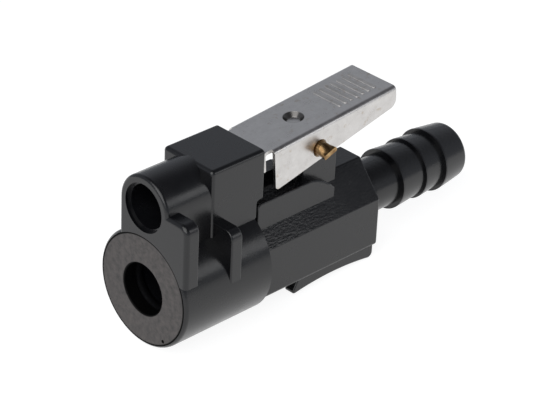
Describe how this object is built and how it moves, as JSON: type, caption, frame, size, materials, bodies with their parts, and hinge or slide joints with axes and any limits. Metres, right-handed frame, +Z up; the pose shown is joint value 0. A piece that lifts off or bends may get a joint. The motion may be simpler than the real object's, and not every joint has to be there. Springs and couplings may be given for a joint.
{
  "type": "plastic quick disconnect coupling",
  "caption": "Black plastic fuel hose quick disconnect coupling, female half, with a sprung stainless latch lever, a guide hole over the sealed port and a ridged hose barb.",
  "frame": {"origin": "centre of the port face on the tube axis, at rest", "axes": "+X along the tube axis from the port face to the hose barb, +Z up to the latch lever, key plates on the -Y side"},
  "size_m": [0.0846, 0.024, 0.0373],
  "materials": {
    "housing_plastic": "satin moulded, faintly grained",
    "retainer_plastic": "matte moulded",
    "seal_rubber": "matte",
    "valve_plastic": "satin moulded",
    "spring_steel": "drawn wire",
    "lever_steel": "satin stainless sheet",
    "pin_brass": "drawn bar, pinched end"
  },
  "bodies": {
    "coupling": {"front_housing": "housing_plastic", "port_retainer": "retainer_plastic", "nipple_oring": "seal_rubber", "valve_spring": "spring_steel", "spring_guide": "valve_plastic", "rear_body": "housing_plastic", "latch_pin": "pin_brass", "latch_spring": "spring_steel"},
    "lever": {"latch_lever": "lever_steel"},
    "valve": {"valve_poppet": "valve_plastic", "poppet_oring": "seal_rubber"}
  },
  "joints": [
    {"name": "latch_pivot", "type": "hinge", "parent": "coupling", "child": "lever", "pos_m": [0.03963, 0, 0.01889], "axis": [0, 1, 0], "range_deg": [0, 8], "stiffness_Nm_per_rad": 0.3, "springref_deg": -28.65, "deforming": ["latch_spring"]},
    {"name": "valve_slide", "type": "slide", "parent": "coupling", "child": "valve", "axis": [1, 0, 0], "range_m": [0, 0.004], "stiffness_N_per_m": 150, "springref_m": -0.02, "deforming": ["valve_spring"]}
  ]
}
